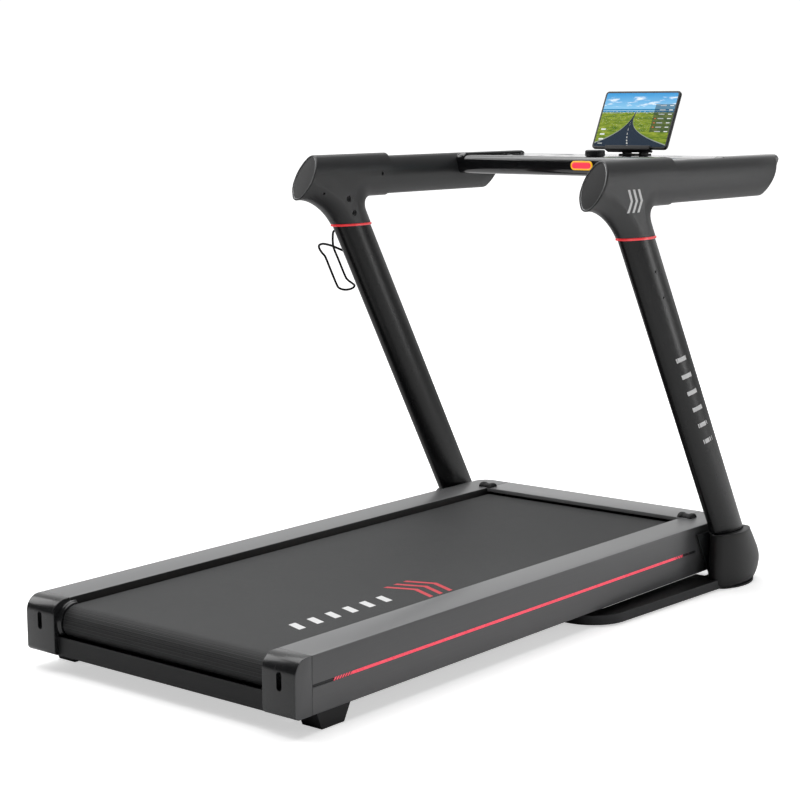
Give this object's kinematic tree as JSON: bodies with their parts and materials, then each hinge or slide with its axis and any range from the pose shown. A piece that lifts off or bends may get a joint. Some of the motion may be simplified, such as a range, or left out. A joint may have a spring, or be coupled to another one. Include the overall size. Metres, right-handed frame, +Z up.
{
  "type": "folding treadmill",
  "caption": "Folding motorised treadmill: belt deck between side rails swings up between oval uprights with straight handrails, slab console, tablet rest and wire bottle cage.",
  "frame": {"origin": "on the floor, at the centre of the middle pad under the base frame's rear cross tube, on the centre plane", "axes": "+X forward, the way the user runs; +Y to the user's left; +Z up"},
  "size_m": [1.6167, 0.9097, 1.0885],
  "materials": {
    "painted_steel": "satin black powder coat",
    "tube_black": "matte black coat on oval steel tube",
    "bracket_charcoal": "fine matte charcoal",
    "handrail_charcoal": "soft matte charcoal sleeve",
    "cap_black": "fine textured black",
    "rail_aluminium": "satin anodised, brushed along its length",
    "cover_aluminium": "satin anodised",
    "rear_cap_plastic": "semi-gloss dark grey",
    "stripe_red": "translucent red insert",
    "ring_red": "gloss red trim",
    "belt_rubber": "matte, fine diamond weave",
    "board_wood": "waxed fibreboard",
    "black_rubber": "matte",
    "tyre_rubber": "matte",
    "bare_steel": "turned, zinc plated",
    "roller_steel": "ground",
    "console_gloss": "piano black",
    "console_glass": "smoked touch panel",
    "circuit_board": "solder mask green",
    "wire_black": "gloss black coated wire",
    "motor_paint": "cast, dark grey",
    "heatsink": "extruded, anodised",
    "inlet_black": "matte",
    "switch_red": "gloss",
    "tablet_black": "gloss screen in a satin black case",
    "dial_black": "satin black, fluted",
    "key_red": "gloss red with a yellow rim"
  },
  "bodies": {
    "base": {"base_frame": "painted_steel", "floor_pads": "black_rubber", "boot_left": "cap_black", "boot_right": "cap_black", "upright_left": "tube_black", "upright_right": "tube_black", "ring_left": "ring_red", "ring_right": "ring_red", "bracket_left": "bracket_charcoal", "bracket_right": "bracket_charcoal", "bracket_cap_left": "cap_black", "bracket_cap_right": "cap_black", "handrail_left": "handrail_charcoal", "handrail_right": "handrail_charcoal", "handrail_plugs": "cap_black", "bracket_screws": "bare_steel", "console_tray": "console_gloss", "console_glass": "console_glass", "console_board": "circuit_board", "tablet_stand": "cap_black", "bottle_cage": "wire_black", "cage_screws": "bare_steel", "fold_pins": "bare_steel", "wheel_axles": "bare_steel"},
    "deck": {"rail_left": "rail_aluminium", "rail_right": "rail_aluminium", "stripe_left": "stripe_red", "stripe_right": "stripe_red", "rear_cap_left": "rear_cap_plastic", "rear_cap_right": "rear_cap_plastic", "front_cover": "cover_aluminium", "front_tray": "painted_steel", "cross_tubes": "painted_steel", "running_board": "board_wood", "deck_cushions": "black_rubber", "running_belt": "belt_rubber", "rear_panel": "cap_black", "rear_feet": "black_rubber", "fold_bumpers": "black_rubber", "drive_motor": "motor_paint", "drive_belt": "black_rubber", "motor_controller": "heatsink", "power_inlet": "inlet_black", "front_axle": "bare_steel", "rear_axle": "bare_steel", "tension_bolts": "bare_steel"},
    "front_roller": {"front_roller": "roller_steel"},
    "rear_roller": {"rear_roller": "roller_steel"},
    "motor_rotor": {"motor_rotor": "bare_steel"},
    "power_rocker": {"power_rocker": "switch_red"},
    "wheel_left": {"wheel_left": "tyre_rubber"},
    "wheel_right": {"wheel_right": "tyre_rubber"},
    "tablet_mount": {"tablet": "tablet_black", "tablet_cradle": "cap_black"},
    "dial": {"dial": "dial_black"},
    "safety_key": {"safety_key": "key_red"}
  },
  "joints": [
    {"name": "deck_fold", "type": "hinge", "parent": "base", "child": "deck", "pos_m": [0.485, 0, 0.087], "axis": [0, 1, 0], "range_deg": [0, 78]},
    {"name": "front_roller_spin", "type": "hinge", "parent": "deck", "child": "front_roller", "pos_m": [0.438, 0, 0.095], "axis": [0, 1, 0], "continuous": true},
    {"name": "rear_roller_spin", "type": "hinge", "parent": "deck", "child": "rear_roller", "pos_m": [-0.862, 0, 0.095], "axis": [0, 1, 0], "continuous": true},
    {"name": "motor_spin", "type": "hinge", "parent": "deck", "child": "motor_rotor", "pos_m": [0.503, 0, 0.09], "axis": [0, 1, 0], "continuous": true},
    {"name": "power_switch", "type": "hinge", "parent": "deck", "child": "power_rocker", "pos_m": [0.532, 0.198, 0.075], "axis": [0, 1, 0], "range_deg": [0, 14]},
    {"name": "wheel_spin_left", "type": "hinge", "parent": "base", "child": "wheel_left", "pos_m": [0.608, 0.26, 0.026], "axis": [0, 1, 0], "continuous": true},
    {"name": "wheel_spin_right", "type": "hinge", "parent": "base", "child": "wheel_right", "pos_m": [0.608, -0.26, 0.026], "axis": [0, 1, 0], "continuous": true},
    {"name": "tablet_tilt", "type": "hinge", "parent": "base", "child": "tablet_mount", "pos_m": [0.66414, 0, 0.96663], "axis": [0, 1, 0], "range_deg": [-8, 25]},
    {"name": "dial_turn", "type": "hinge", "parent": "base", "child": "dial", "pos_m": [0.5, 0, 0.94], "axis": [0, 0, 1], "continuous": true},
    {"name": "safety_key_pull", "type": "slide", "parent": "base", "child": "safety_key", "axis": [-1, 0, 0], "range_m": [0, 0.06]}
  ],
  "couplings": [
    {"joint": "rear_roller_spin", "follows": "front_roller_spin", "ratio": 1},
    {"joint": "motor_spin", "follows": "front_roller_spin", "ratio": 2.6}
  ]
}
